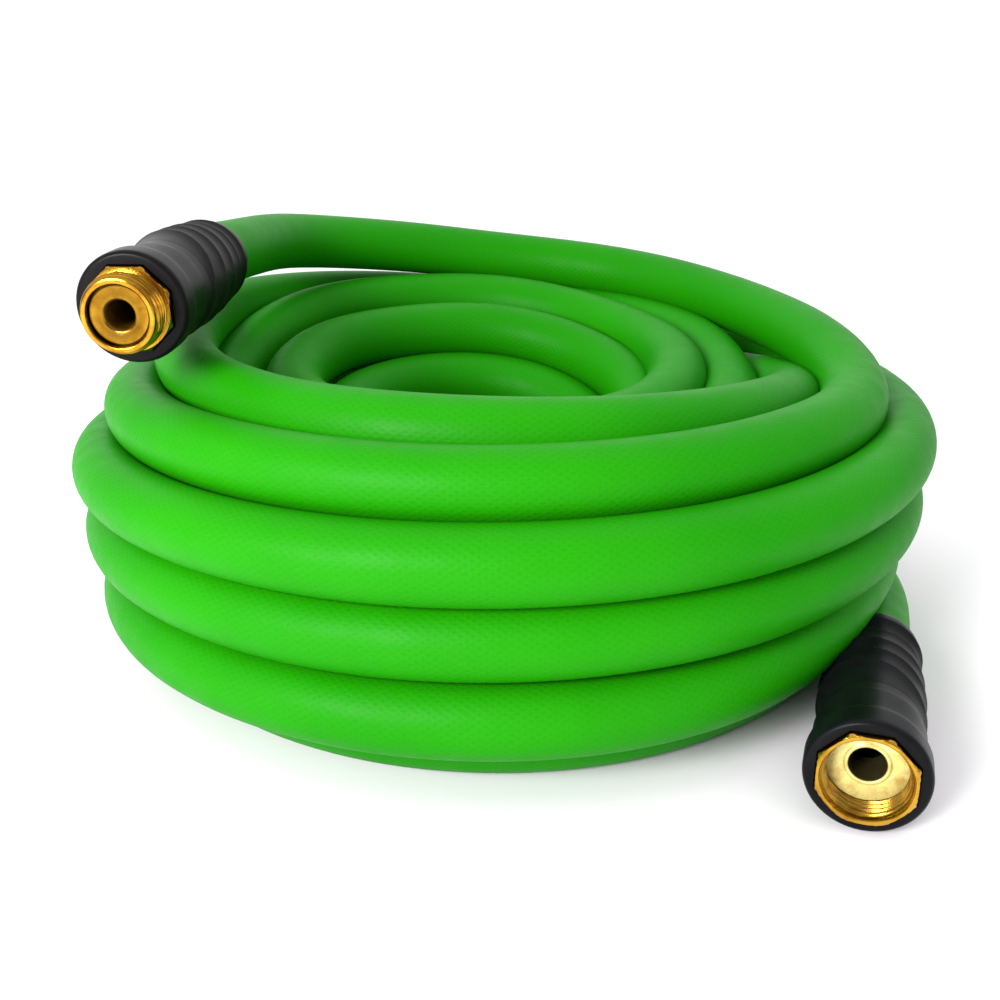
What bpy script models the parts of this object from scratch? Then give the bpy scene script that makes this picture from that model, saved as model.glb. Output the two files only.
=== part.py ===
# Garden hose lying in a loose flat coil, with a black grip and a brass thread coupling at each end.
# Metres, +Z up, floor at z = 0. The camera side of the coil is -Y.
import math

import bmesh
import bpy
from mathutils import Matrix, Vector

for old in list(bpy.data.objects):
    bpy.data.objects.remove(old, do_unlink=True)

# Sizes shared by several pieces
HOSE_R = 0.013
GAP = 0.0003
BORE_R = 0.0057
SHANK_R = 0.0093
THREAD_R = 0.0135
SOCKET_EASE = 0.0001
SOCKET_R = THREAD_R + SOCKET_EASE
NUT_WALL = 0.0016
OCTAGON_FLATS = 2 * (SOCKET_R + NUT_WALL)
NUT_REAR = 0.0155
POCKET_DEPTH = NUT_REAR + GAP
HOSE_END_DEPTH = 0.0225
SHANK_END_DEPTH = HOSE_END_DEPTH - GAP
OVERSHOOT = 0.003
SHIFT = Vector((0.0, 0.0057, 0.0))

# Turns of the stacked coil as (radius, height) of the hose centre, in hose radii
OUTER_TURNS = [(12.70, 6.34), (12.55, 4.34), (12.73, 2.34)]
LOW_TURN = (11.25, 1.0)
INNER_TURNS = [(7.5, 1.0), (7.5, 3.0), (7.5, 5.0)]
TOP_TURNS = [(9.35, 5.60), (11.0, 5.40)]

# Turns that lie over the stack as (azimuth in degrees, radius, height), in hose radii: first from the
# male grip over the right side and the front, then from the stack through the middle into the bore
LOOSE_TURNS = [
    (150, 9.6, 11.7), (120, 10.35, 11.2), (90, 10.7, 10.4), (60, 10.8, 9.9), (30, 10.45, 9.3),
    (0, 10.75, 8.85), (-18, 11.15, 8.33), (-35, 11.3, 7.88), (-60, 11.3, 7.81), (-90, 11.3, 7.81),
    (-162, 11.35, 7.88),
]
RISING_TURNS = [
    (-18, 9.1, 7.85), (-60, 9.15, 8.3), (-90, 9.15, 8.4), (-135, 9.2, 8.5), (-160, 9.4, 8.8),
    (-180, 9.85, 9.3), (-205, 10.75, 9.4), (-225, 11.2, 9.2), (-250, 11.05, 8.75), (-270, 10.55, 8.3),
    (-300, 9.65, 8.1), (-330, 8.8, 7.7), (-360, 7.6, 7.35), (-378, 7.1, 7.2), (-402, 7.1, 7.1),
    (-450, 7.2, 7.06), (-495, 7.5, 7.06), (-540, 8.2, 7.65), (-570, 8.85, 8.2), (-600, 9.05, 8.95),
    (-630, 8.4, 9.0), (-660, 7.4, 8.4), (-690, 6.5, 7.95), (-720, 5.35, 7.55), (-750, 4.9, 7.3),
    (-810, 5.05, 7.15), (-855, 5.25, 7.15), (-900, 6.0, 7.75), (-930, 6.5, 8.1), (-960, 6.05, 8.3),
    (-990, 5.5, 8.2), (-1020, 5.15, 7.7), (-1050, 4.35, 6.85), (-1080, 3.7, 6.1), (-1110, 3.5, 5.5),
    (-1170, 3.9, 5.05), (-1215, 4.2, 5.2), (-1260, 4.85, 5.75), (-1305, 4.7, 6.15), (-1362, 4.0, 5.9),
]
LOOSE_STEP = 24

# Grip outline as (radius over the wall at its mouth, distance behind the front face)
GRIP_WALL = 0.00102
MOUTH_R = (OCTAGON_FLATS / 2 + GAP) / math.cos(math.pi / 8) + GRIP_WALL
GRIP_OUTLINE = [
    (MOUTH_R + proud, behind) for proud, behind in (
        (0.0, 0.0), (0.0011, 0.0005), (0.0018, 0.0020), (0.0018, 0.0100), (0.0014, 0.0118),
        (0.0005, 0.0134), (0.0002, 0.0160), (0.0002, 0.0280), (0.0006, 0.0340), (0.0008, 0.0450),
        (0.0006, 0.0560), (0.0, 0.0680), (-0.0010, 0.0780), (-0.0018, 0.0840), (-0.0015, 0.0856),
        (-0.0015, 0.0895), (-0.0022, 0.0913))
]
COLLAR_R = max(radius for radius, behind in GRIP_OUTLINE)
GRIP_END = GRIP_OUTLINE[-1][1]
GRIP_BORE_R = HOSE_R + GAP
STRAIGHT_OUT = 0.0032

# Front centre of each grip and the way that its mouth points, in hose radii
MALE_FRONT = Vector((-9.60, -7.47, 11.38))
MALE_REAR = Vector((-9.25, -0.55, 11.75))
FEMALE_FRONT = Vector((8.56, -14.07, (COLLAR_R + GAP) / HOSE_R))
FEMALE_REAR = Vector((10.85, -7.45, 1.44))

# Lead from the female grip into the bottom of the stack as (azimuth, radius, height), in hose radii
LEAD_TURNS = [(-24, 12.72, 1.25), (-12, 12.68, 1.08), (0, 12.45, 1.03), (12, 12.3, 1.03)]

collection = bpy.data.collections.new("garden_hose")
bpy.context.scene.collection.children.link(collection)
cutters = bpy.data.collections.new("cutters")
bpy.context.scene.collection.children.link(cutters)


def material(name, color, metallic, roughness):
    mat = bpy.data.materials.new(name)
    mat.use_nodes = True
    shader = mat.node_tree.nodes["Principled BSDF"]
    shader.inputs["Base Color"].default_value = (*color, 1.0)
    shader.inputs["Metallic"].default_value = metallic
    shader.inputs["Roughness"].default_value = roughness
    return mat


def add_object(name, data, is_cutter=False):
    obj = bpy.data.objects.new(name, data)
    if is_cutter:
        cutters.objects.link(obj)
        obj.hide_render = True
        obj.display_type = "WIRE"
    else:
        collection.objects.link(obj)
    return obj


def turned(name, profile, steps, is_cutter=False):
    """Closed profile of (radius, z) turned about Z; it runs down its outer side first."""
    mesh = bpy.data.meshes.new(name)
    count = len(profile)
    edges = [(i, (i + 1) % count) for i in range(count)]
    mesh.from_pydata([(r, 0.0, z) for r, z in profile], edges, [])
    obj = add_object(name, mesh, is_cutter)
    screw = obj.modifiers.new("turn", "SCREW")
    screw.axis = "Z"
    screw.angle = math.tau
    screw.steps = steps
    screw.render_steps = steps
    screw.use_merge_vertices = True
    screw.merge_threshold = 0.00001
    screw.use_smooth_shade = True
    return obj


def octagon(name, flats, z_low, z_high, is_cutter=False):
    """Eight-sided prism about Z with a flat on +X."""
    corner = flats / 2 / math.cos(math.pi / 8)
    shape = bmesh.new()
    bmesh.ops.create_cone(
        shape, cap_ends=True, segments=8, radius1=corner, radius2=corner, depth=z_high - z_low,
        matrix=Matrix.Translation((0, 0, (z_low + z_high) / 2)) @ Matrix.Rotation(math.pi / 8, 4, "Z"))
    mesh = bpy.data.meshes.new(name)
    shape.to_mesh(mesh)
    shape.free()
    return add_object(name, mesh, is_cutter)


def tube(name, points, radius, sides_level, is_cutter=False):
    curve = bpy.data.curves.new(name, "CURVE")
    curve.dimensions = "3D"
    curve.bevel_depth = radius
    curve.bevel_resolution = sides_level
    curve.use_fill_caps = True
    spline = curve.splines.new("POLY")
    spline.points.add(len(points) - 1)
    for knot, point in zip(spline.points, points):
        knot.co = (*point, 1.0)
    spline.use_smooth = True
    return add_object(name, curve, is_cutter)


def made_mesh(obj):
    """The object's evaluated shape as a mesh object of the same name."""
    bpy.context.view_layer.update()
    mesh = bpy.data.meshes.new_from_object(obj.evaluated_get(bpy.context.evaluated_depsgraph_get()))
    shape = bmesh.new()
    shape.from_mesh(mesh)
    bmesh.ops.remove_doubles(shape, verts=shape.verts, dist=0.000001)
    shape.to_mesh(mesh)
    shape.free()
    name = obj.name
    placed = obj.matrix_world.copy()
    home = obj.users_collection[0]
    is_cutter = obj.hide_render
    bpy.data.objects.remove(obj, do_unlink=True)
    new = bpy.data.objects.new(name, mesh)
    home.objects.link(new)
    new.matrix_world = placed
    new.hide_render = is_cutter
    if is_cutter:
        new.display_type = "WIRE"
    return new


def boolean(obj, other, operation):
    mod = obj.modifiers.new(operation.lower(), "BOOLEAN")
    mod.operation = operation
    mod.solver = "EXACT"
    mod.object = other


def arc(center, start, end, count):
    """Points of a turn's round section between two angles in degrees, in metres."""
    points = []
    for i in range(count):
        angle = math.radians(start + (end - start) * i / (count - 1))
        r = (center[0] + math.cos(angle)) * HOSE_R
        z = (center[1] + math.sin(angle)) * HOSE_R
        points.append((r, z))
    return points


def cylindrical(azimuth, radius, height):
    angle = math.radians(azimuth)
    return Vector((radius * math.cos(angle), radius * math.sin(angle), height)) * HOSE_R + SHIFT


def smooth_value(table, azimuth, column):
    """Catmull-Rom value of a column of the table at an azimuth; the azimuths fall."""
    i = 0
    while i < len(table) - 2 and table[i + 1][0] > azimuth:
        i += 1
    before = table[max(i - 1, 0)]
    low = table[i]
    high = table[i + 1]
    after = table[min(i + 2, len(table) - 1)]
    t = (azimuth - low[0]) / (high[0] - low[0])
    span = high[0] - low[0]
    slope_low = (high[column] - before[column]) / (high[0] - before[0]) * span
    slope_high = (after[column] - low[column]) / (after[0] - low[0]) * span
    a = 2 * t**3 - 3 * t**2 + 1
    b = t**3 - 2 * t**2 + t
    c = -2 * t**3 + 3 * t**2
    d = t**3 - t**2
    return a * low[column] + b * slope_low + c * high[column] + d * slope_high


def along(table, step):
    """Points of the smooth curve through the table, one at each step of azimuth."""
    points = []
    azimuth = table[0][0]
    while azimuth >= table[-1][0]:
        points.append(cylindrical(azimuth, smooth_value(table, azimuth, 1), smooth_value(table, azimuth, 2)))
        azimuth -= step
    return points


def facing(front, rear):
    """Frame at a grip's front centre with +Z out of its mouth."""
    out = (front - rear).normalized()
    side = Vector((0, 0, 1)).cross(out).normalized()
    up = out.cross(side)
    turn = Matrix((side, up, out)).transposed().to_4x4()
    return Matrix.Translation(front * HOSE_R + SHIFT) @ turn


male_frame = facing(MALE_FRONT, MALE_REAR)
female_frame = facing(FEMALE_FRONT, FEMALE_REAR)

green = material("hose_green", (0.05, 0.38, 0.01), 0.0, 0.5)
green_top = material("hose_green_top", (0.06, 0.42, 0.012), 0.0, 0.5)
green_inner = material("hose_green_inner", (0.055, 0.4, 0.011), 0.0, 0.5)
green_lead = material("hose_green_lead", (0.04, 0.32, 0.01), 0.0, 0.5)
black_male = material("grip_black_male", (0.02, 0.018, 0.02), 0.0, 0.55)
black_female = material("grip_black_female", (0.02, 0.018, 0.02), 0.0, 0.55)
brass_male = material("brass_male", (0.75, 0.42, 0.06), 1.0, 0.25)
brass_nut = material("brass_nut", (0.75, 0.42, 0.06), 1.0, 0.25)
brass_seat = material("brass_seat", (0.85, 0.62, 0.3), 1.0, 0.3)

# Stacked turns of the coil, one turned ring
ring_profile = arc(OUTER_TURNS[0], 90, -58, 8)
for turn in OUTER_TURNS[1:]:
    ring_profile += arc(turn, 58, -58, 7)
ring_profile += arc(LOW_TURN, -15, -90, 5)
ring_profile += arc(INNER_TURNS[0], -90, -238, 7)
for turn in INNER_TURNS[1:-1]:
    ring_profile += arc(turn, -122, -238, 6)
ring_profile += arc(INNER_TURNS[-1], -122, -290, 7)
for turn in TOP_TURNS:
    ring_profile += arc(turn, 125, 60, 3)
ring_profile += arc(OUTER_TURNS[0], 145, 105, 3)
coil = turned("hose_coil", ring_profile, 56)
coil.location = SHIFT
coil = made_mesh(coil)

# Lead from the stack to the female grip
hose_start = female_frame @ Vector((0, 0, -HOSE_END_DEPTH))
grip_end = female_frame @ Vector((0, 0, -GRIP_END - STRAIGHT_OUT))
lead_points = [hose_start, grip_end] + [cylindrical(*turn) for turn in LEAD_TURNS]
lead = tube("hose_lead", lead_points, HOSE_R, 4)
end_way = (lead_points[-1] - lead_points[-2]).normalized()
room_points = lead_points + [lead_points[-1] + end_way * GAP]
lead_room = tube("lead_room", room_points, HOSE_R + 0.0004, 6, True)
lead_room = made_mesh(lead_room)
boolean(coil, lead_room, "DIFFERENCE")

# Loose turns from the male grip over the stack
male_start = male_frame @ Vector((0, 0, -HOSE_END_DEPTH))
male_end = male_frame @ Vector((0, 0, -GRIP_END - STRAIGHT_OUT))
top = tube("hose_top", [male_start, male_end] + along(LOOSE_TURNS, LOOSE_STEP), HOSE_R, 4)

# Loose turns that rise out of the stack and end in its bore
inner = tube("hose_inner", along(RISING_TURNS, LOOSE_STEP), HOSE_R, 4)


def grip(name, frame):
    outer = [(r, -s) for r, s in GRIP_OUTLINE]
    rear = outer[-1][1]
    body = turned(name, outer + [(GRIP_BORE_R, rear), (GRIP_BORE_R, 0.0)], 40)
    body.matrix_world = frame
    body = made_mesh(body)
    pocket = octagon(name + "_pocket", OCTAGON_FLATS + 2 * GAP, -POCKET_DEPTH, OVERSHOOT, True)
    pocket.matrix_world = frame
    boolean(body, pocket, "DIFFERENCE")
    return body


male_grip = grip("male_grip", male_frame)
female_grip = grip("female_grip", female_frame)

# Room for the female grip's rear where the stack lies over it
GRIP_ROOM = 0.0006
room_outline = [(r + GRIP_ROOM, -s) for r, s in GRIP_OUTLINE[6:]]
room_rear = room_outline[-1][1] - GRIP_ROOM
room_profile = [(0.0, room_outline[0][1])] + room_outline + [(room_outline[-1][0], room_rear), (0.0, room_rear)]
grip_room_mesh = bpy.data.meshes.new("grip_room")
grip_room_mesh.from_pydata(
    [(r, 0.0, z) for r, z in room_profile], [(i, i + 1) for i in range(len(room_profile) - 1)], [])
grip_room = add_object("grip_room", grip_room_mesh, True)
room_turn = grip_room.modifiers.new("turn", "SCREW")
room_turn.axis = "Z"
room_turn.angle = math.tau
room_turn.steps = 40
room_turn.render_steps = 40
room_turn.use_merge_vertices = True
room_turn.merge_threshold = 0.00001
grip_room.matrix_world = female_frame
grip_room = made_mesh(grip_room)
boolean(coil, grip_room, "DIFFERENCE")

# Male coupling: eight-sided flange, thread land with a recessed face, shank and bore
MALE_FACE = 0.0125
FLANGE_PROUD = 0.0025
FLANGE_EASE = 0.0008
CHAMFER = 0.0008
RECESS_WALL = 0.0031
RECESS_DEPTH = 0.0022
male_body = octagon("male_coupling", OCTAGON_FLATS, -POCKET_DEPTH + FLANGE_EASE, FLANGE_PROUD)
male_body.matrix_world = male_frame
land_profile = [
    (0.0, MALE_FACE), (THREAD_R - CHAMFER, MALE_FACE), (THREAD_R, MALE_FACE - CHAMFER),
    (THREAD_R, -POCKET_DEPTH / 2), (SHANK_R, -POCKET_DEPTH / 2), (SHANK_R, -SHANK_END_DEPTH),
    (0.0, -SHANK_END_DEPTH),
]
RECESS_FLOOR = MALE_FACE - RECESS_DEPTH
hole_profile = [
    (0.0, MALE_FACE + OVERSHOOT), (THREAD_R - RECESS_WALL, MALE_FACE + OVERSHOOT),
    (THREAD_R - RECESS_WALL, RECESS_FLOOR), (BORE_R + 0.0011, RECESS_FLOOR),
    (BORE_R + 0.0007, RECESS_FLOOR + 0.0006), (BORE_R, RECESS_FLOOR + 0.0006),
    (BORE_R, -SHANK_END_DEPTH - OVERSHOOT), (0.0, -SHANK_END_DEPTH - OVERSHOOT),
]


def spun(name, profile, steps, frame):
    """Cutter or join body turned from a profile that starts and ends on the axis."""
    mesh = bpy.data.meshes.new(name)
    mesh.from_pydata([(r, 0.0, z) for r, z in profile], [(i, i + 1) for i in range(len(profile) - 1)], [])
    obj = add_object(name, mesh, True)
    screw = obj.modifiers.new("turn", "SCREW")
    screw.axis = "Z"
    screw.angle = math.tau
    screw.steps = steps
    screw.render_steps = steps
    screw.use_merge_vertices = True
    screw.merge_threshold = 0.00001
    obj.matrix_world = frame
    return made_mesh(obj)


boolean(male_body, spun("male_land", land_profile, 48, male_frame), "UNION")
boolean(male_body, spun("male_hole", hole_profile, 48, male_frame), "DIFFERENCE")

# Female swivel nut with its socket, and the seat that it turns on
NUT_PROUD = 0.0020
SEAT_DEPTH = 0.0085
SEAT_THICK = 0.0025
SEAT_EASE = 0.0005
nut = octagon("female_nut", OCTAGON_FLATS, -NUT_REAR, NUT_PROUD)
nut.matrix_world = female_frame
shoulder = SEAT_DEPTH + SEAT_THICK + GAP
socket_profile = [
    (0.0, NUT_PROUD + OVERSHOOT), (SOCKET_R, NUT_PROUD + OVERSHOOT), (SOCKET_R, -shoulder),
    (SHANK_R + GAP, -shoulder), (SHANK_R + GAP, -NUT_REAR - OVERSHOOT), (0.0, -NUT_REAR - OVERSHOOT),
]
boolean(nut, spun("nut_socket", socket_profile, 48, female_frame), "DIFFERENCE")
seat_profile = [
    (BORE_R + 0.0012, -SEAT_DEPTH + 0.0006), (BORE_R + 0.0016, -SEAT_DEPTH),
    (SOCKET_R - SEAT_EASE, -SEAT_DEPTH), (SOCKET_R - SEAT_EASE, -SEAT_DEPTH - SEAT_THICK),
    (SHANK_R, -SEAT_DEPTH - SEAT_THICK),
    (SHANK_R, -SHANK_END_DEPTH), (BORE_R, -SHANK_END_DEPTH), (BORE_R, -SEAT_DEPTH + 0.0006),
]
tailpiece = turned("female_tailpiece", seat_profile, 48)
tailpiece.matrix_world = female_frame

for obj, mat in (
        (coil, green), (lead, green_lead), (top, green_top), (inner, green_inner),
        (male_grip, black_male), (female_grip, black_female),
        (male_body, brass_male), (nut, brass_nut), (tailpiece, brass_seat)):
    obj.data.materials.clear()
    obj.data.materials.append(mat)
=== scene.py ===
import math

import bpy
import numpy as np
from mathutils import Matrix, Vector


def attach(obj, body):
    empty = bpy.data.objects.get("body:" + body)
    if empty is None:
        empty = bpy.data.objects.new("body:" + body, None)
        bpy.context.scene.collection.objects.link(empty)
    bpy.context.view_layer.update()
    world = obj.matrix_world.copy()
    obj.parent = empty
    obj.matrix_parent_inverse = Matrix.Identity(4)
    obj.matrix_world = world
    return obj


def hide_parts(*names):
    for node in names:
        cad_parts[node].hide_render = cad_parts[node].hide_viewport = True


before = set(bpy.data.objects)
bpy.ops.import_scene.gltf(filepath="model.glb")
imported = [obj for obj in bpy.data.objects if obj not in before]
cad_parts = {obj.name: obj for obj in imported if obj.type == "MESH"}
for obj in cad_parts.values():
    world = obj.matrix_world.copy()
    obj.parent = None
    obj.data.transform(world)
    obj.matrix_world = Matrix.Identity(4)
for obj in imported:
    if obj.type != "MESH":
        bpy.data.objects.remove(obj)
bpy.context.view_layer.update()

# Sizes that the solids have too, in metres
HOSE_R = 0.013
SHIFT = np.array([0.0, 0.0057, 0.0])
HOSE_BORE_R = 0.0095
BORE_R = 0.0057
SHANK_R = 0.0093
THREAD_R = 0.0135
THREAD_PITCH = 0.00221
MALE_FLATS = 0.0286
NUT_FLATS = 0.0298
SOCKET_R = 0.0136
MALE_FRONT = np.array([-9.60, -7.47, 11.38])
MALE_REAR = np.array([-9.25, -0.55, 11.75])
FEMALE_FRONT = np.array([8.56, -14.07, 1.53])
FEMALE_REAR = np.array([10.85, -7.45, 1.44])
SHANK_END_DEPTH = 0.0222
GRIP_BORE_R = 0.01335

# Route of the hose in hose radii: (azimuth, distance from the middle, height, how firmly it is kept).
# It starts at the male grip, goes over the back and round clockwise, and keeps going inwards.
ROUTE = [
    (150, 9.8, 11.75, 1), (136, 10.2, 11.5, 1), (112, 10.45, 11, 1), (101, 10.56, 10.72, 1),
    (89, 10.68, 10.42, 1.2), (67, 10.8, 9.97, 1.2), (41, 10.45, 9.5, 1.3), (20, 10.45, 9.1, 1.4),
    (6, 10.65, 8.8, 1.4), (-21, 11.35, 8, 1.2), (-45, 11.35, 7.9, 1), (-90, 11.35, 7.79, 1),
    (-135, 11.4, 7.75, 1), (-170, 11.65, 7.6, 1), (-190, 11.75, 7.55, 0.6), (-225, 12, 7.5, 0.3),
    (-270, 12.4, 7.35, 0.3), (-315, 12.65, 7.1, 0.5), (-360, 12.75, 6.95, 1), (-405, 12.75, 6.55, 1),
    (-450, 12.7, 6.34, 1), (-495, 12.65, 6.2, 1), (-540, 12.6, 6, 1), (-585, 12.6, 5.7, 0.5),
    (-630, 12.6, 5.35, 0.3), (-675, 12.6, 5.12, 0.5), (-720, 12.6, 5, 1), (-765, 12.6, 4.65, 1),
    (-810, 12.55, 4.34, 1), (-855, 12.5, 4.2, 1), (-900, 12.5, 4.1, 1), (-945, 12.6, 3.78, 0.5),
    (-990, 12.65, 3.38, 0.3), (-1035, 12.6, 3.15, 0.5), (-1080, 12.3, 3, 1), (-1114, 12.2, 3.15, 1),
    (-1125, 12.3, 2.8, 1), (-1140, 12.45, 2.4, 1), (-1170, 12.73, 2.3, 1), (-1215, 12.3, 2.1, 1),
    (-1260, 11.9, 2.05, 1), (-1305, 12, 1.7, 0.3), (-1350, 11.3, 1.2, 0.3), (-1395, 11, 2.7, 0.2),
    (-1440, 10.5, 1.5, 0.3), (-1474, 10.8, 1, 0.5), (-1500, 11.1, 1, 0.8), (-1520, 11.25, 1, 1),
    (-1575, 11.25, 1, 1), (-1620, 10.9, 1, 0.5), (-1665, 10.5, 1.8, 0.2), (-1710, 10.5, 2.9, 0.2),
    (-1755, 10.5, 4.5, 0.2), (-1800, 10.5, 3.3, 0.2), (-1834, 10.5, 3.05, 0.2), (-1890, 10.5, 3, 0.2),
    (-1980, 10.5, 3.1, 0.2), (-2025, 10.5, 3.9, 0.2), (-2070, 10.5, 4.8, 0.2), (-2115, 10.5, 6.2, 0.2),
    (-2160, 10.5, 5.3, 0.2), (-2250, 10.45, 5.1, 0.2), (-2340, 10.5, 5.2, 0.2), (-2385, 10.5, 5.9, 0.2),
    (-2430, 10.5, 6.55, 0.2), (-2475, 10.2, 6.85, 0.6), (-2500, 9.85, 7.1, 1), (-2525, 9.55, 7.5, 1.2),
    (-2555, 9.35, 8.05, 1), (-2610, 9.25, 8.45, 1), (-2655, 9.4, 8.5, 1), (-2685, 9.9, 8.6, 1),
    (-2700, 10.3, 8.65, 0.8), (-2725, 10.95, 8.75, 0.5), (-2747, 11.4, 8.75, 0.8),
    (-2770, 11.2, 8.6, 0.6), (-2790, 10.8, 8.3, 0.5), (-2815, 10.2, 8.2, 0.6), (-2830, 9.75, 7.95, 1),
    (-2845, 9.3, 7.65, 1), (-2866, 8.25, 7.3, 1), (-2890, 7.65, 7.1, 0.5), (-2925, 7.45, 7.05, 0.3),
    (-2970, 7.5, 7.1, 0.3), (-3015, 7.9, 7.15, 0.3), (-3045, 8.7, 7.3, 0.5), (-3065, 9.4, 7.6, 1),
    (-3082, 9.6, 8.3, 1), (-3100, 9.6, 8.9, 1), (-3128, 9.1, 9.05, 1), (-3150, 8.7, 8.95, 1),
    (-3175, 8, 8.4, 1), (-3202, 7, 7.7, 1), (-3230, 6.2, 7.2, 0.5), (-3270, 5.6, 6.9, 0.3),
    (-3330, 5.5, 6.9, 0.3), (-3375, 5.9, 7, 0.3), (-3420, 6.95, 7.5, 1), (-3445, 6.9, 8.1, 1),
    (-3470, 6.3, 8.3, 1), (-3510, 5.9, 8.25, 1), (-3550, 5.7, 7.5, 1), (-3575, 5.6, 6.9, 1),
    (-3600, 5, 6.1, 0.3), (-3630, 4.55, 5.3, 0.3), (-3690, 4.5, 5, 0.3), (-3740, 5, 5.2, 0.3),
    (-3780, 5.8, 6, 0.3), (-3825, 5.3, 6.6, 1), (-3870, 4.95, 6.6, 1), (-3910, 4.6, 6, 0.6),
    (-3950, 4.5, 4.6, 0.3), (-3990, 4.5, 3.4, 0.2), (-4050, 4.5, 3.05, 0.2),
]
# Columns of turns under the visible ones, each (distance, height), one turn apart
HIDDEN_TURNS = [
    (4.5, 3.02), (4.5, 1.0), (6.54, 1.0), (6.54, 3.02), (6.54, 5.04), (8.58, 5.04), (8.58, 3.02),
    (8.58, 1.0),
]
# Way out along the floor to the female grip: (degrees on from the front, distance, height)
WAY_OUT = [
    (0, 8.58, 1.0), (45, 8.58, 1.0), (90, 8.58, 1.0), (135, 8.6, 1.0), (180, 9.2, 1.0),
    (215, 10.2, 1.0), (240, 11.5, 1.0), (262, 12.3, 1.02), (278, 12.6, 1.06), (292, 12.7, 1.22),
]
HIDDEN_HOLD = 0.15
WAY_OUT_LOOSE, WAY_OUT_FIRM = 0.3, 1.0
# Distances of the straight ends behind the front faces of the grips, in hose radii
MALE_DEPTHS = (1.73, 3.5, 5.5, 7.18, 8.2)
FEMALE_DEPTHS = (8.0, 7.0, 5.0, 3.5, 1.73)
# Hold of a point inside a grip, and the hold over which a point belongs to a grip
GRIPPED, GRIPPED_OVER = 9.0, 5
# Spacing of the route's points, distance between turns that touch, distance at which two turns are
# watched, stretch of hose that doesn't push itself, and lowest height of the centreline, in hose radii
STEP = 0.5
TOUCH = 2.01
WATCHED = 2.8
OWN_STRETCH = 5.5
LOWEST = 1.0


# ---------------------------------------------------------------- route of the hose
def whole_route():
    """All the listed points, with the hidden columns added turn by turn."""
    rows = list(ROUTE)
    front = ROUTE[-1][0]
    for low, high in zip(HIDDEN_TURNS[:-1], HIDDEN_TURNS[1:]):
        for on in range(0, 360, 45):
            t = min(max((on - 90) / 120.0, 0.0), 1.0)
            t = t * t * (3 - 2 * t)
            if front - on < rows[-1][0] - 20:
                rows.append((front - on, low[0] + (high[0] - low[0]) * t,
                             low[1] + (high[1] - low[1]) * t, HIDDEN_HOLD))
        front -= 360
    for on, distance, height in WAY_OUT:
        if front - on < rows[-1][0] - 10:
            rows.append((front - on, distance, height, WAY_OUT_LOOSE if on < 200 else WAY_OUT_FIRM))
    return np.array(rows, dtype=float)


def straight(front, rear, depths):
    """Points on a grip's axis at the given distances behind its front face."""
    way = (front - rear) / np.linalg.norm(front - rear)
    return np.array([front - way * d for d in depths])


def drawn_route():
    """The route as close points with their hold, the straight ends inside the grips included."""
    rows = whole_route()
    az = rows[:, 0]
    n = len(az)
    fine = np.arange(az[0], az[-1], -1.0)
    i = np.clip(np.searchsorted(-az, -fine, side="right") - 1, 0, n - 2)
    span = az[i + 1] - az[i]
    t = (fine - az[i]) / span
    values = []
    for column in (1, 2):
        y = rows[:, column]
        slope = np.empty(n)
        slope[1:-1] = (y[2:] - y[:-2]) / (az[2:] - az[:-2])
        slope[0] = (y[1] - y[0]) / (az[1] - az[0])
        slope[-1] = (y[-1] - y[-2]) / (az[-1] - az[-2])
        values.append((2 * t**3 - 3 * t**2 + 1) * y[i] + (t**3 - 2 * t**2 + t) * span * slope[i]
                      + (-2 * t**3 + 3 * t**2) * y[i + 1] + (t**3 - t**2) * span * slope[i + 1])
    hold = rows[i, 3] * (1 - t) + rows[i + 1, 3] * t
    a = np.radians(fine)
    turns = np.stack([values[0] * np.cos(a), values[0] * np.sin(a), values[1]], 1)
    start = straight(MALE_FRONT, MALE_REAR, MALE_DEPTHS)
    end = straight(FEMALE_FRONT, FEMALE_REAR, FEMALE_DEPTHS)
    points = np.vstack([start, turns[3:], end])
    hold = np.concatenate([np.full(len(start), GRIPPED), hold[3:], np.full(len(end), GRIPPED)])
    along = np.r_[0, np.cumsum(np.linalg.norm(np.diff(points, axis=0), axis=1))]
    s = np.linspace(0, along[-1], int(round(along[-1] / STEP)) + 1)
    even = np.stack([np.interp(s, along, points[:, k]) for k in range(3)], 1)
    return even, np.interp(s, along, hold)


def smoothed(values, width):
    """Points rounded off along the route with a bell curve of the given width, in steps."""
    kernel = np.exp(-0.5 * (np.arange(-3 * width, 3 * width + 1) / width) ** 2)
    kernel /= kernel.sum()
    reach = len(kernel) // 2
    padded = np.pad(values, ((reach, reach), (0, 0)), mode="edge")
    return np.stack([np.convolve(padded[:, k], kernel, mode="valid") for k in range(3)], 1)


def near_pairs(points, reach, skip):
    """Pairs of points nearer than reach that lie more than skip steps apart along the route."""
    first, second = [], []
    small = points.astype(np.float32)
    for a in range(0, len(points), 400):
        square = ((small[a:a + 400, None, :] - small[None, :, :]) ** 2).sum(2)
        i, j = np.nonzero(square < reach * reach)
        i = i + a
        later = j > i + skip
        first.append(i[later])
        second.append(j[later])
    return np.concatenate(first), np.concatenate(second)


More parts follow.
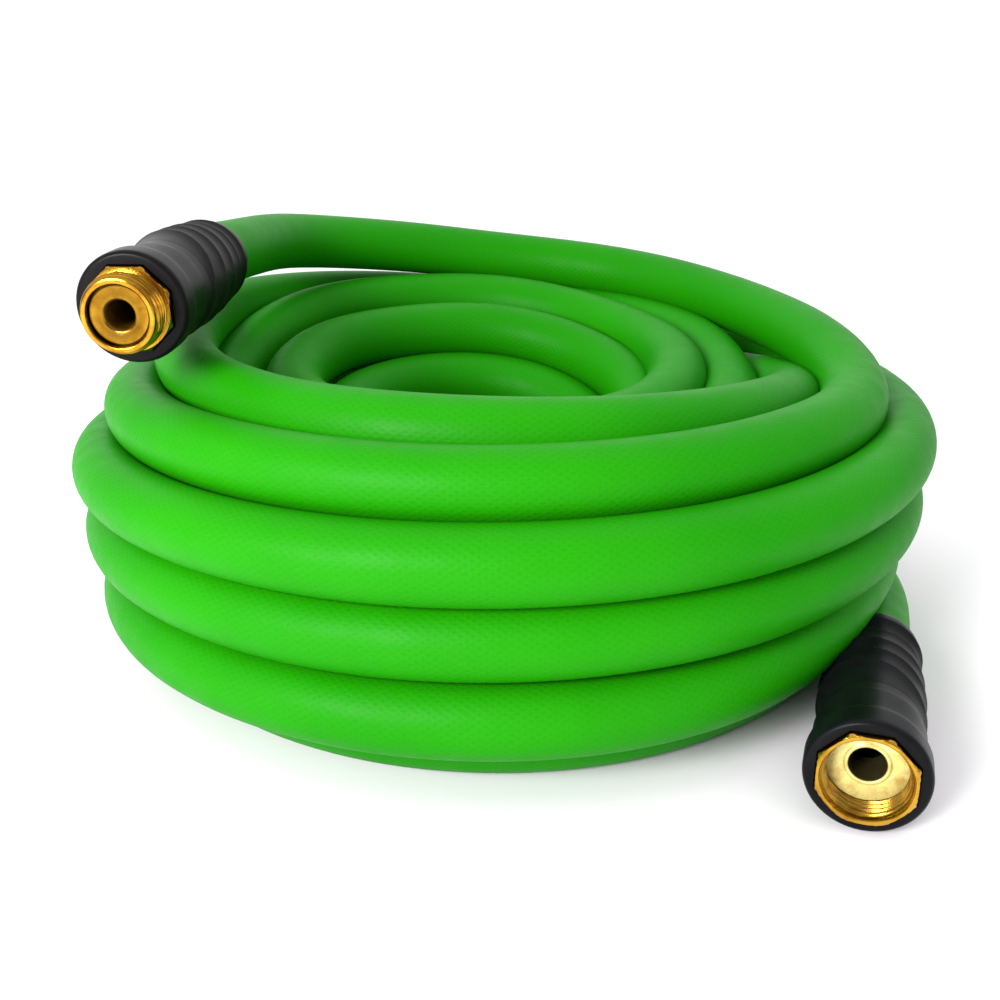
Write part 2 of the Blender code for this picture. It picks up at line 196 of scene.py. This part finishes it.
def settled_route(rounds=240):
    """The turns pushed apart until each lies beside or on the next; firmly held points hardly move."""
    home, hold = drawn_route()
    skip = int(OWN_STRETCH / STEP)
    inside_grip = (hold > GRIPPED_OVER)[:, None]
    keep = np.minimum((0.004 + 0.25 * np.clip(hold, 0, 1.4) ** 3)[:, None] + inside_grip, 1.0)
    points = home.copy()
    for step in range(rounds):
        if step % 12 == 0:
            first, second = near_pairs(points, WATCHED, skip)
        apart = points[second] - points[first]
        distance = np.linalg.norm(apart, axis=1)
        close = distance < TOUCH
        push = (TOUCH - distance[close])[:, None] * apart[close] / np.maximum(distance[close], 1e-6)[:, None]
        give_a = 1 - keep[first[close], 0] * 0.9
        give_b = 1 - keep[second[close], 0] * 0.9
        moved = np.zeros_like(points)
        count = np.zeros(len(points))
        np.add.at(moved, first[close], -push * (give_a / (give_a + give_b))[:, None])
        np.add.at(moved, second[close], push * (give_b / (give_a + give_b))[:, None])
        np.add.at(count, first[close], 1)
        np.add.at(count, second[close], 1)
        points = points + moved / np.sqrt(np.maximum(count, 1))[:, None] * 0.6
        points[:, 2] = np.maximum(points[:, 2], LOWEST)
        points = points + (home - points) * keep * 0.5
        width = 3.0 if step < rounds * 0.6 else 1.5
        points = home + smoothed(points - home, max(1, int(width / STEP))) * (1 - inside_grip)
        points[:, 2] = np.maximum(points[:, 2], LOWEST)
    # the settled line is rounded off once more without shrinking its bends, and the ends are kept
    once = smoothed(points, 3)
    soft = 2 * once - smoothed(once, 3)
    ease = np.ones(len(points))
    ease[hold > GRIPPED_OVER] = 0.0
    ease = np.convolve(np.pad(ease, 6, mode="edge"), np.ones(13) / 13, mode="valid")[:, None]
    points = points * (1 - ease) + soft * ease
    points[:, 2] = np.maximum(points[:, 2], LOWEST)
    return points * HOSE_R + SHIFT


# ---------------------------------------------------------------- meshes
def mesh_object(name, verts, faces, uvs=None, sharp=None):
    """Smooth-shaded mesh in the scene, with edges sharper than the given angle kept sharp."""
    mesh = bpy.data.meshes.new(name)
    mesh.from_pydata([tuple(v) for v in verts], [], faces)
    if uvs is not None:
        layer = mesh.uv_layers.new(name="UVMap")
        layer.data.foreach_set("uv", np.asarray(uvs, dtype=np.float32).ravel())
    mesh.polygons.foreach_set("use_smooth", [True] * len(mesh.polygons))
    if sharp:
        mesh.set_sharp_from_angle(angle=math.radians(sharp))
    mesh.update()
    obj = bpy.data.objects.new(name, mesh)
    bpy.context.scene.collection.objects.link(obj)
    return obj


def hose_tube(name, path, radius, sides, bore, deep):
    """Tube along path, its pattern carried along without twist, with a bore of deep points at each end."""
    n = len(path)
    way = np.gradient(path, axis=0)
    way /= np.linalg.norm(way, axis=1)[:, None]
    side = np.zeros_like(path)
    side[0] = np.cross(way[0], [0, 0, 1.0])
    side[0] /= np.linalg.norm(side[0])
    for i in range(1, n):
        side[i] = side[i - 1] - way[i] * np.dot(side[i - 1], way[i])
        side[i] /= np.linalg.norm(side[i])
    up = np.cross(way, side)
    angle = np.linspace(0, math.tau, sides, endpoint=False)
    ring = (np.cos(angle)[None, :, None] * side[:, None, :] + np.sin(angle)[None, :, None] * up[:, None, :])
    parts = [path[:deep, None, :] + ring[:deep] * bore, path[:, None, :] + ring * radius,
             path[-deep:, None, :] + ring[-deep:] * bore]
    # one skin: up the first bore to its mouth, along the outside, and down the other bore
    parts[0] = parts[0][::-1]
    parts[2] = parts[2][::-1]
    verts = np.concatenate(parts).reshape(-1, 3)
    along = np.r_[0, np.cumsum(np.linalg.norm(np.diff(path, axis=0), axis=1))]
    along = np.concatenate([along[:deep][::-1], along, along[-deep:][::-1]])
    rings = len(along)
    faces, uvs, inner = [], [], []
    for i in range(rings - 1):
        for j in range(sides):
            k = (j + 1) % sides
            faces.append((i * sides + j, i * sides + k, (i + 1) * sides + k, (i + 1) * sides + j))
            a, b = j / sides, (j + 1) / sides
            uvs += [(along[i], a), (along[i], b), (along[i + 1], b), (along[i + 1], a)]
            inner.append(1 if i < deep or i >= deep + n - 1 else 0)
    faces.append(tuple(reversed(range(sides))))
    faces.append(tuple((rings - 1) * sides + j for j in range(sides)))
    inner += [1, 1]
    uvs += [(0.0, 0.0)] * (2 * sides)
    obj = mesh_object(name, verts, faces, uvs, 60)
    obj.data.polygons.foreach_set("material_index", inner)
    return obj


def lathe(name, rows, steps, place, sharp):
    """Closed ring of (radius, z) rows turned about Z; a radius may be an array of one value per step."""
    angle = np.linspace(0, math.tau, steps, endpoint=False)
    verts = []
    for r, z in rows:
        r = np.broadcast_to(np.asarray(r, dtype=float), (steps,))
        verts.append(np.stack([r * np.cos(angle), r * np.sin(angle), np.full(steps, z)], 1))
    verts = np.concatenate(verts)
    n = len(rows)
    faces = []
    for i in range(n):
        a, b = i * steps, ((i + 1) % n) * steps
        for j in range(steps):
            k = (j + 1) % steps
            faces.append((a + j, b + j, b + k, a + k))
    obj = mesh_object(name, verts, faces, None, sharp)
    obj.matrix_world = place
    return obj


def octagon_radius(flats, steps, corner=None):
    """Distance of an eight-sided outline with a flat on +X, its corners turned down to corner."""
    angle = np.linspace(0, math.tau, steps, endpoint=False)
    local = (angle + math.pi / 8) % (math.pi / 4) - math.pi / 8
    r = flats / 2 / np.cos(local)
    return r if corner is None else np.minimum(r, corner)


def facing(front, rear):
    """Place of a fitting: its origin at the front face, +Z out of it, and +Y as far up as that allows."""
    way = Vector(front - rear).normalized()
    side = Vector((0, 0, 1)).cross(way).normalized()
    turn = Matrix((side, way.cross(side), way)).transposed().to_4x4()
    return Matrix.Translation(Vector(front * HOSE_R + SHIFT)) @ turn


male_place = facing(MALE_FRONT, MALE_REAR)
female_place = facing(FEMALE_FRONT, FEMALE_REAR)


# ---------------------------------------------------------------- materials
def nodes_of(name):
    """New material with its node tree and its shader."""
    mat = bpy.data.materials.new(name)
    mat.use_nodes = True
    tree = mat.node_tree
    return mat, tree, tree.nodes["Principled BSDF"]


def math_node(tree, kind, a, b=None, c=None):
    node = tree.nodes.new("ShaderNodeMath")
    node.operation = kind
    for socket, value in zip(node.inputs, (a, b, c)):
        if value is None:
            continue
        if isinstance(value, (int, float)):
            socket.default_value = value
        else:
            tree.links.new(value, socket)
    return node.outputs[0]


def noise(tree, vector, scale, detail=3.0, rough=0.5):
    """Noise texture over the given coordinates."""
    node = tree.nodes.new("ShaderNodeTexNoise")
    node.inputs["Scale"].default_value = scale
    node.inputs["Detail"].default_value = detail
    node.inputs["Roughness"].default_value = rough
    tree.links.new(vector, node.inputs["Vector"])
    return node.outputs["Fac"]


def ramp(tree, fac, stops):
    """Colour ramp of (position, colour) stops."""
    node = tree.nodes.new("ShaderNodeValToRGB")
    tree.links.new(fac, node.inputs["Fac"])
    ring = node.color_ramp.elements
    while len(ring) > 1:
        ring.remove(ring[-1])
    ring[0].position, ring[0].color = stops[0][0], (*stops[0][1], 1.0)
    for place, color in stops[1:]:
        e = ring.new(place)
        e.color = (*color, 1.0)
    return node.outputs["Color"]


def mix_color(tree, fac, a, b, kind="MIX"):
    node = tree.nodes.new("ShaderNodeMix")
    node.data_type = "RGBA"
    node.blend_type = kind
    for socket, value in ((node.inputs[0], fac), (node.inputs[6], a), (node.inputs[7], b)):
        if isinstance(value, (int, float)):
            socket.default_value = value
        elif isinstance(value, tuple):
            socket.default_value = (*value, 1.0)
        else:
            tree.links.new(value, socket)
    return node.outputs[2]


def spread(tree, fac, low, high):
    """Value between low and high as the noise goes from 0.3 to 0.7."""
    node = tree.nodes.new("ShaderNodeMapRange")
    node.inputs["To Min"].default_value = low
    node.inputs["To Max"].default_value = high
    node.inputs["From Min"].default_value = 0.3
    node.inputs["From Max"].default_value = 0.7
    tree.links.new(fac, node.inputs["Value"])
    return node.outputs["Result"]


def bump(tree, shader, height, distance, strength=1.0):
    node = tree.nodes.new("ShaderNodeBump")
    node.inputs["Distance"].default_value = distance
    node.inputs["Strength"].default_value = strength
    tree.links.new(height, node.inputs["Height"])
    tree.links.new(node.outputs["Normal"], shader.inputs["Normal"])


def coords(tree, output):
    return tree.nodes.new("ShaderNodeTexCoord").outputs[output]


BRAID_STRANDS = 32
BRAID_PITCH = 0.0036
HOSE_DULL, HOSE_BRIGHT = (0.0085, 0.21, 0.0003), (0.0120, 0.24, 0.0006)
# Spacing of the turning marks on the brass, and the radius that its rings of painted shade are shares of
MARK_PITCH = 0.00042
ZONE_SPAN = 0.02


def hose_material():
    """Satin green skin over a braid that shows through as a fine diamond relief."""
    mat, tree, shader = nodes_of("hose_skin")
    uv = tree.nodes.new("ShaderNodeSeparateXYZ")
    tree.links.new(coords(tree, "UV"), uv.inputs[0])
    along, around = uv.outputs[0], uv.outputs[1]
    turn = math_node(tree, "MULTIPLY", around, math.tau * BRAID_STRANDS)
    run = math_node(tree, "MULTIPLY", along, math.tau / BRAID_PITCH)
    one = math_node(tree, "COSINE", math_node(tree, "ADD", turn, run))
    two = math_node(tree, "COSINE", math_node(tree, "SUBTRACT", turn, run))
    braid = math_node(tree, "MAXIMUM", one, two)
    where = coords(tree, "Object")
    broad = noise(tree, where, 14.0, 2.0)
    fine = noise(tree, where, 900.0, 2.0)
    body = ramp(tree, broad, [(0.3, HOSE_DULL), (0.7, HOSE_BRIGHT)])
    dark = mix_color(tree, spread(tree, math_node(tree, "MULTIPLY_ADD", braid, 0.5, 0.5), 0.0, 1.0),
                     (0.93, 0.94, 0.92), (1.0, 1.0, 1.0))
    tree.links.new(mix_color(tree, 1.0, body, dark, "MULTIPLY"), shader.inputs["Base Color"])
    tree.links.new(spread(tree, noise(tree, where, 120.0, 3.0), 0.44, 0.54), shader.inputs["Roughness"])
    height = math_node(tree, "MULTIPLY_ADD", fine, 0.35, braid)
    bump(tree, shader, height, 0.00003, 0.8)
    shader.inputs["Specular IOR Level"].default_value = 0.08
    return mat


def rubber_material(name, tint):
    """Satin moulded rubber with a fine grain and uneven wear."""
    mat, tree, shader = nodes_of(name)
    where = coords(tree, "Object")
    broad = noise(tree, where, 60.0, 4.0, 0.6)
    fine = noise(tree, where, 2600.0, 2.0)
    low = tuple(c * 0.6 for c in tint)
    high = tuple(c * 1.5 for c in tint)
    tree.links.new(ramp(tree, broad, [(0.3, low), (0.7, high)]), shader.inputs["Base Color"])
    tree.links.new(spread(tree, broad, 0.30, 0.42), shader.inputs["Roughness"])
    bump(tree, shader, fine, 0.00005, 0.5)
    shader.inputs["Specular IOR Level"].default_value = 0.08
    return mat


def brass_material(name, tint, rough, marks, shade_zones, metal=1.0):
    """Polished brass: turning marks round its axis, uneven tarnish, and rings of painted shade given as
    (radius, lightness).
    """
    mat, tree, shader = nodes_of(name)
    where = coords(tree, "Object")
    stain = noise(tree, where, 180.0, 5.0, 0.62)
    low = (tint[0] * 0.62, tint[1] * 0.48, tint[2] * 0.30)
    axis = tree.nodes.new("ShaderNodeSeparateXYZ")
    tree.links.new(where, axis.inputs[0])
    square = math_node(tree, "ADD", math_node(tree, "MULTIPLY", axis.outputs[0], axis.outputs[0]),
                       math_node(tree, "MULTIPLY", axis.outputs[1], axis.outputs[1]))
    radius = math_node(tree, "SQRT", square)
    share = math_node(tree, "DIVIDE", radius, ZONE_SPAN)
    # painted shade: the base colour darkened by radius in the bore, recesses and grooves
    zone = ramp(tree, share, [(r / ZONE_SPAN, (light,) * 3) for r, light in shade_zones])
    skin = ramp(tree, stain, [(0.3, low), (0.55, tint)])
    tree.links.new(mix_color(tree, 1.0, skin, zone, "MULTIPLY"), shader.inputs["Base Color"])
    # the first zone is the bore, which is duller than the rest
    (bore, _), (face, _) = shade_zones[:2]
    sheen = ramp(tree, share, [(bore / ZONE_SPAN, (0.45 * metal,) * 3), (face / ZONE_SPAN, (metal,) * 3)])
    tree.links.new(sheen, shader.inputs["Metallic"])
    tree.links.new(spread(tree, stain, rough * 1.7, rough), shader.inputs["Roughness"])
    reach = math_node(tree, "ADD", radius, math_node(tree, "MULTIPLY", axis.outputs[2], 0.8))
    lines = math_node(tree, "SINE", math_node(tree, "MULTIPLY", reach, math.tau / MARK_PITCH))
    bump(tree, shader, math_node(tree, "MULTIPLY_ADD", stain, 1.2, lines), marks, 0.6)
    return mat


hose_skin = hose_material()
hose_inside = rubber_material("hose_inside", (0.010, 0.011, 0.010))
male_rubber = rubber_material("rubber_male", (0.0040, 0.0034, 0.0038))
female_rubber = rubber_material("rubber_female", (0.0040, 0.0042, 0.0050))
# painted shade: bore, recessed face and the groove round it darker than the front land
male_brass = brass_material(
    "brass_male", (0.42, 0.215, 0.020), 0.14, 0.000016,
    [(0.0052, 0.30), (0.0054, 0.62), (0.0070, 0.42), (0.0095, 0.62), (0.0099, 0.10), (0.0104, 0.10),
     (0.0108, 1.0)])
# painted shade: the inside of the socket darker than the outside
nut_brass = brass_material(
    "brass_nut", (0.56, 0.31, 0.032), 0.15, 0.000012, [(0.0110, 0.55), (0.0136, 0.6), (0.0139, 1.0)])
# painted shade: the hole in the seat nearly black and its rim a little darker
seat_brass = brass_material(
    "brass_seat", (1.0, 0.87, 0.31), 0.24, 0.000012, [(0.0058, 0.04), (0.0061, 0.80), (0.0080, 1.0)], 0.32)

# ---------------------------------------------------------------- camera, floor and light
SENSOR, LENS = 36.0, 39.6
CAMERA_PLACE, CAMERA_DOWN = (0.0, -0.4636, 0.2106), 19.45
FLOOR_REACH = 7
# Floor colour by half the distance from the middle: painted shade, darker and slightly rosy near the hose
# against its green bounce light, nearly white further out
FLOOR_NEAR_SHADE, FLOOR_FAR = (0.09, (0.88, 0.80, 0.88)), (0.16, (0.98, 0.98, 0.98))
# Studio light by direction, dimmest in front and brightest overhead and behind
SKY = [(0.0, (0.12, 0.12, 0.125)), (0.45, (0.26, 0.26, 0.27)), (0.75, (0.46, 0.46, 0.46)),
       (0.9, (0.54, 0.54, 0.54)), (1.0, (0.75, 0.75, 0.75))]
SKY_STRENGTH = 2.1

camera_data = bpy.data.cameras.new("camera")
camera_data.sensor_width = SENSOR
camera_data.lens = LENS
camera = bpy.data.objects.new("camera", camera_data)
bpy.context.scene.collection.objects.link(camera)
camera.location = CAMERA_PLACE
camera.rotation_euler = (math.radians(90 - CAMERA_DOWN), 0.0, 0.0)
bpy.context.scene.camera = camera
bpy.context.scene.view_settings.view_transform = "Standard"

floor_corners = [(x * FLOOR_REACH, y * FLOOR_REACH, 0) for x, y in ((-1, -1), (1, -1), (1, 1), (-1, 1))]
floor = mesh_object("floor", floor_corners, [(0, 1, 2, 3)])
floor_mat, floor_tree, floor_shader = nodes_of("floor_paper")
floor_place = coords(floor_tree, "Object")
floor_length = floor_tree.nodes.new("ShaderNodeVectorMath")
floor_length.operation = "LENGTH"
floor_tree.links.new(floor_place, floor_length.inputs[0])
floor_half = math_node(floor_tree, "MULTIPLY", floor_length.outputs["Value"], 0.5)
floor_tone = math_node(floor_tree, "MULTIPLY_ADD", noise(floor_tree, floor_place, 3.0), 0.05, floor_half)
# painted shade round the hose: the floor darker and rosier nearer the middle
floor_tree.links.new(ramp(floor_tree, floor_tone, [FLOOR_NEAR_SHADE, FLOOR_FAR]), floor_shader.inputs["Base Color"])
floor_shader.inputs["Roughness"].default_value = 0.9
floor_shader.inputs["Specular IOR Level"].default_value = 0.1
floor.data.materials.append(floor_mat)

world = bpy.data.worlds.new("studio")
bpy.context.scene.world = world
world.use_nodes = True
sky = world.node_tree
back = sky.nodes["Background"]
way = sky.nodes.new("ShaderNodeSeparateXYZ")
sky.links.new(coords(sky, "Generated"), way.inputs[0])
lift = math_node(sky, "MULTIPLY_ADD", way.outputs[1], 0.45, 0.45)
lift = math_node(sky, "MULTIPLY_ADD", way.outputs[2], 0.55, lift)
sky.links.new(ramp(sky, lift, SKY), back.inputs["Color"])
back.inputs["Strength"].default_value = SKY_STRENGTH


def softbox(name, place, target, size, watts):
    """Rectangular area light at place that looks at target."""
    data = bpy.data.lights.new(name, "AREA")
    data.shape = "RECTANGLE"
    data.size, data.size_y = size
    data.energy = watts
    obj = bpy.data.objects.new(name, data)
    bpy.context.scene.collection.objects.link(obj)
    obj.location = place
    obj.rotation_euler = (Vector(target) - Vector(place)).to_track_quat("-Z", "Y").to_euler()


softbox("key", (-0.50, -0.80, 0.44), (-0.05, -0.10, 0.10), (0.32, 0.32), 14.0)
softbox("fill", (0.75, -0.95, 0.28), (0.05, -0.1, 0.04), (0.5, 0.3), 1.3)

# ---------------------------------------------------------------- hose
HOSE_SIDES = 36
BORE_POINTS = 8
route = settled_route()
hose = hose_tube("hose", route, HOSE_R, HOSE_SIDES, HOSE_BORE_R, BORE_POINTS)
hose.data.materials.append(hose_skin)
hose.data.materials.append(hose_inside)
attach(hose, "hose")
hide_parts("hose_coil", "hose_top", "hose_inner", "hose_lead")

# ---------------------------------------------------------------- grips
# Outline of a grip without its ribs as (radius, distance behind the front face)
GRIP_OUTLINE = [
    (0.0176, 0.0), (0.0187, 0.0005), (0.0193, 0.0020), (0.0193, 0.0100), (0.0189, 0.0118),
    (0.0180, 0.0134), (0.0177, 0.0160), (0.0177, 0.0280), (0.0183, 0.0340), (0.0186, 0.0450),
    (0.0184, 0.0560), (0.0178, 0.0680), (0.0168, 0.0780), (0.0160, 0.0840), (0.0163, 0.0856),
    (0.0163, 0.0895), (0.0156, 0.0913),
]
# The same outline in finer steps at the front ring, at the step behind it and at the rear bead
FRONT_RING = [(0.0176, 0.0), (0.0182, 0.00012), (0.0187, 0.0005), (0.0191, 0.0011), (0.01925, 0.0018),
              (0.0193, 0.0026)]
STEP_DOWN = [(0.0193, 0.0098), (0.01915, 0.0106), (0.0188, 0.0113), (0.0184, 0.0119), (0.0181, 0.0125),
             (0.0179, 0.0131), (0.01778, 0.0137), (0.0177, 0.016)]
STEP_PLACES = (0.004, 0.006, 0.008, 0.0098, 0.0106, 0.0113, 0.0119, 0.0125, 0.0131, 0.0137, 0.0146,
               0.016, 0.019, 0.022)
REAR_BEAD = [(0.01605, 0.0853), (0.01625, 0.0858), (0.0163, 0.0866), (0.0163, 0.0885), (0.01615, 0.0897),
             (0.0159, 0.0906), (0.0156, 0.0911), (0.0152, 0.0913), (0.0138, 0.0913), (GRIP_BORE_R, 0.0909)]
# Grooves as (mean distance behind the front face, how far each leans), and the first band's length
GROOVES = [(0.0395, 0.0085), (0.0520, 0.0050), (0.0635, 0.0026), (0.0745, 0.0012), (0.0838, 0.0)]
FIRST_BAND = 0.0130
LEAN_FROM = math.radians(120)
GROOVE_DEPTH, GROOVE_BEHIND, GROOVE_WIDTH = 0.0016, 0.0008, 0.0007
RIB_LIP, RIB_SLOPE = 0.0015, 0.0003
RIBS_FROM, RIBS_TO, RIB_ROWS = 0.0245, 0.0850, 0.00035
WAIST_FROM, WAIST_EASE = 0.0250, 0.0080
MALE_WAIST, FEMALE_WAIST = 0.0009, 0.0020
POCKET_DEPTH = 0.0158
POCKET_EASE = 0.0004
GRIP_STEPS = 96


def grip_surface(depth, waist):
    """Radius of the grip all round at one distance behind its front face, ribs included."""
    angle = np.linspace(0, math.tau, GRIP_STEPS, endpoint=False)
    lean = np.cos(angle - LEAN_FROM)
    plain = np.interp(depth, [s for _, s in GRIP_OUTLINE], [r for r, _ in GRIP_OUTLINE])
    relief = np.full(GRIP_STEPS, 0.0)
    sunk = (waist * np.clip((depth - WAIST_FROM) / WAIST_EASE, 0.0, 1.0)
            * np.clip((RIBS_TO - depth) / WAIST_EASE, 0.0, 1.0))
    edges = [c + a * lean for c, a in GROOVES]
    for k, edge in enumerate(edges):
        before = edges[k - 1] if k else edge - FIRST_BAND
        inside = np.clip((depth - before) / (edge - before), 0.0, 1.0)
        band = (depth > before) & (depth <= edge)
        rise = RIB_LIP * inside**4 + RIB_SLOPE * inside
        # each band lifts towards its rear edge, which is rounded, then steps down to the next
        relief = np.where(band, rise, relief)
        relief -= GROOVE_DEPTH * np.exp(-(((depth - edge) - GROOVE_BEHIND) / GROOVE_WIDTH) ** 2)
    return plain + relief - sunk


def grip(name, place, rubber, flats, waist):
    """Moulded grip with its ribs outside and an eight-sided pocket for the brass inside."""
    rows = [(r, -s) for r, s in FRONT_RING]
    rows += [(np.interp(s, [b for _, b in STEP_DOWN], [a for a, _ in STEP_DOWN]), -s) for s in STEP_PLACES]
    rows += [(grip_surface(s, waist), -s) for s in np.arange(RIBS_FROM, RIBS_TO, RIB_ROWS)]
    rows += [(r, -s) for r, s in REAR_BEAD]
    pocket = octagon_radius(flats + POCKET_EASE, GRIP_STEPS)
    rows += [(GRIP_BORE_R, -POCKET_DEPTH), (pocket, -POCKET_DEPTH), (pocket, -0.0004), (pocket + 0.0003, 0.0)]
    obj = lathe(name, rows, GRIP_STEPS, place, 50)
    obj.data.materials.append(rubber)
    return obj


male_grip = grip("male_grip_rubber", male_place, male_rubber, MALE_FLATS, MALE_WAIST)
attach(male_grip, "hose")
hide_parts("male_grip")
female_grip = grip("female_grip_rubber", female_place, female_rubber, NUT_FLATS, FEMALE_WAIST)
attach(female_grip, "swivel")
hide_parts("female_grip")

# ---------------------------------------------------------------- brass
BRASS_STEPS = 192
# Front face and flange of the male coupling, as heights over the grip's front face, and its bore
FACE = 0.0125
PROUD = 0.0025
MOUTH_R = 0.0049
FLANGE_DEPTH = 0.0150
MALE_CORNER, NUT_CORNER = 0.01535, 0.0160
THREAD_ROWS = 0.00017
angle = np.linspace(0, math.tau, BRASS_STEPS, endpoint=False)


def ridge(z, start):
    """Thread form at one height, 0 in the root and 1 on the crest, all round."""
    phase = ((z - start) / THREAD_PITCH - angle / math.tau) % 1.0
    return np.clip(1.28 - 2.9 * np.abs(phase - 0.5), 0.0, 1.0)


octagon_male = octagon_radius(MALE_FLATS, BRASS_STEPS, MALE_CORNER)
# the flange, front face first, then the shank, the bore, the recessed face, the front land and the thread
rows = [(0.0129, PROUD), (np.minimum(octagon_male, 0.0143), PROUD),
        (np.minimum(octagon_male, 0.0147), PROUD - 0.00035), (octagon_male, PROUD - 0.0011)]
rows += [(octagon_male, -FLANGE_DEPTH + 0.0002), (octagon_male - 0.0003, -FLANGE_DEPTH),
         (SHANK_R, -FLANGE_DEPTH), (SHANK_R, -SHANK_END_DEPTH)]
rows += [(MOUTH_R, -SHANK_END_DEPTH), (MOUTH_R, FACE - 0.0045), (MOUTH_R + 0.00005, FACE - 0.0030),
         (MOUTH_R + 0.0003, FACE - 0.00235), (MOUTH_R + 0.0007, FACE - 0.0020),
         (MOUTH_R + 0.0011, FACE - 0.0019), (0.0098, FACE - 0.0020), (0.00995, FACE - 0.0026),
         (0.0103, FACE - 0.0026), (0.0104, FACE - 0.0020), (0.0105, FACE - 0.0006),
         (0.0108, FACE - 0.00015), (0.0112, FACE), (0.0120, FACE), (0.0124, FACE - 0.0002)]
ROOT = 0.01235
for z in np.arange(FACE - 0.0006, PROUD + 0.0016, -THREAD_ROWS):
    lead = np.clip((FACE - 0.0004 - z) / 0.0022, 0.0, 1.0)
    tail = np.clip((z - PROUD - 0.0012) / 0.0012, 0.0, 1.0)
    rows.append((ROOT + (THREAD_R - ROOT) * ridge(z, 0.0) * lead * tail, z))
rows += [(0.0123, PROUD + 0.0013), (0.0123, PROUD + 0.0004), (0.0126, PROUD + 0.0001)]
male_coupling = lathe("male_brass", rows, BRASS_STEPS, male_place, 32)
male_coupling.data.materials.append(male_brass)
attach(male_coupling, "hose")
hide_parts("male_coupling")

# Front face, rear face and seat of the female end, as distances from its grip's front face
NUT_PROUD = 0.0020
NUT_REAR = 0.0155
SEAT_DEPTH = 0.0085
SEAT_THICK = 0.0025
SHOULDER = SEAT_DEPTH + SEAT_THICK + 0.0003
SEAT_EDGE = SOCKET_R - 0.0005
THREAD_HEIGHT = 0.00115
octagon_nut = octagon_radius(NUT_FLATS, BRASS_STEPS, NUT_CORNER)
rows = [(0.0138, NUT_PROUD - 0.0003), (0.0141, NUT_PROUD), (np.minimum(octagon_nut, 0.0150), NUT_PROUD),
        (np.minimum(octagon_nut, 0.0154), NUT_PROUD - 0.0003), (octagon_nut, NUT_PROUD - 0.0010),
        (octagon_nut, -NUT_REAR + 0.0003), (octagon_nut - 0.0003, -NUT_REAR), (SHANK_R + 0.0003, -NUT_REAR),
        (SHANK_R + 0.0003, -SHOULDER), (SOCKET_R, -SHOULDER)]
for z in np.arange(-SEAT_DEPTH + 0.0004, NUT_PROUD - 0.0012, THREAD_ROWS):
    lead = np.clip((NUT_PROUD - 0.0012 - z) / 0.0020, 0.0, 1.0)
    tail = np.clip((z + SEAT_DEPTH - 0.0002) / 0.0008, 0.0, 1.0)
    rows.append((SOCKET_R - THREAD_HEIGHT * ridge(z, 0.0006) * lead * tail, z))
rows += [(SOCKET_R, NUT_PROUD - 0.0011)]
nut = lathe("female_nut_brass", rows, BRASS_STEPS, female_place, 32)
nut.data.materials.append(nut_brass)
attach(nut, "swivel")
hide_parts("female_nut")

rows = [(BORE_R, -SHANK_END_DEPTH), (BORE_R, -SEAT_DEPTH - 0.0004), (BORE_R + 0.0001, -SEAT_DEPTH + 0.0002),
        (BORE_R + 0.0004, -SEAT_DEPTH + 0.0005), (BORE_R + 0.0008, -SEAT_DEPTH + 0.0006),
        (BORE_R + 0.0012, -SEAT_DEPTH + 0.0005), (BORE_R + 0.0015, -SEAT_DEPTH + 0.0001),
        (BORE_R + 0.0019, -SEAT_DEPTH), (0.0126, -SEAT_DEPTH), (SEAT_EDGE, -SEAT_DEPTH - 0.0004),
        (SEAT_EDGE, -SEAT_DEPTH - SEAT_THICK), (SHANK_R, -SEAT_DEPTH - SEAT_THICK),
        (SHANK_R, -SHANK_END_DEPTH)]
tailpiece = lathe("female_tailpiece_brass", list(reversed(rows)), 96, female_place, 40)
tailpiece.data.materials.append(seat_brass)
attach(tailpiece, "hose")
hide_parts("female_tailpiece")
